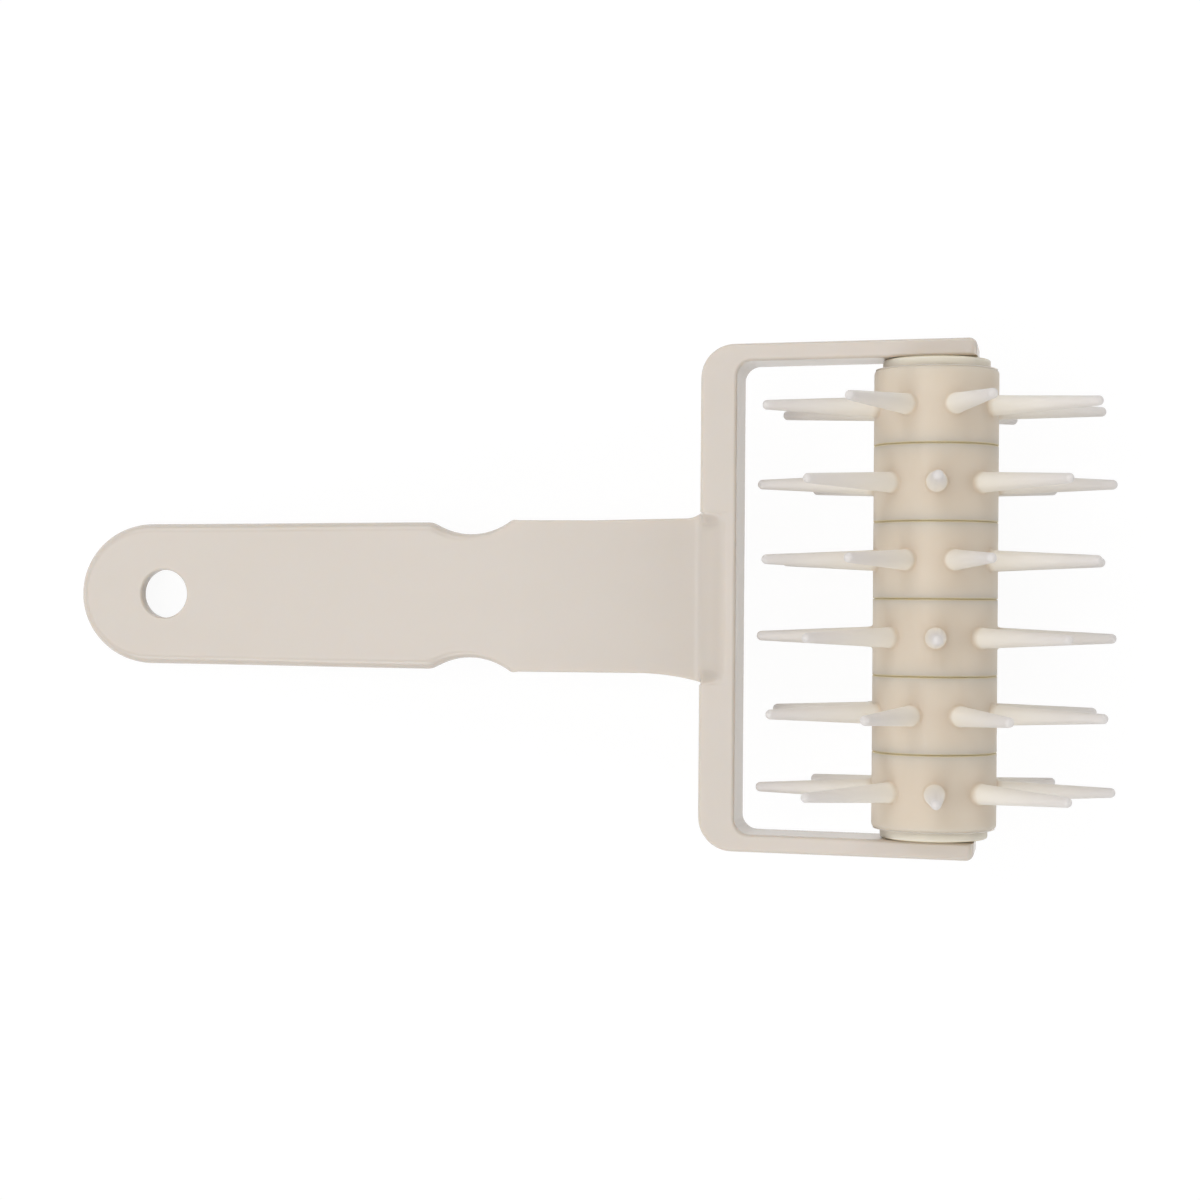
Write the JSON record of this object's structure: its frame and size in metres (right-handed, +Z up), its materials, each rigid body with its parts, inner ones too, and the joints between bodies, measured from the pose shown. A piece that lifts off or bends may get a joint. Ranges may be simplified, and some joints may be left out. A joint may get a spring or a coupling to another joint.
{
  "type": "dough docker",
  "caption": "Hand roller with rows of tapered pins that turns in the fork of a flat plastic handle, for pricking rolled dough before baking.",
  "frame": {"origin": "on the table, below the middle of the overall box, with the tool lying on its lowest pins and on the end of its handle", "axes": "+Z up, +Y along the roller's axis towards the upper end cap, +X from the handle's end towards the roller"},
  "size_m": [0.2179, 0.1054, 0.0722],
  "materials": {
    "frame": "smooth moulded, soft gloss, warm off-white",
    "ring": "smooth moulded, slightly translucent natural plastic",
    "core": "extruded tube, matt"
  },
  "bodies": {
    "frame": {"frame_handle": "frame"},
    "roller": {"roller_core": "core", "pin_ring_1": "ring", "pin_ring_2": "ring", "pin_ring_3": "ring", "pin_ring_4": "ring", "pin_ring_5": "ring", "pin_ring_6": "ring", "end_cap_upper": "ring", "end_cap_lower": "ring"}
  },
  "joints": [
    {"name": "roller_spin", "type": "hinge", "parent": "frame", "child": "roller", "pos_m": [0.07287, 0, 0.03609], "axis": [0, 1, 0], "continuous": true}
  ]
}
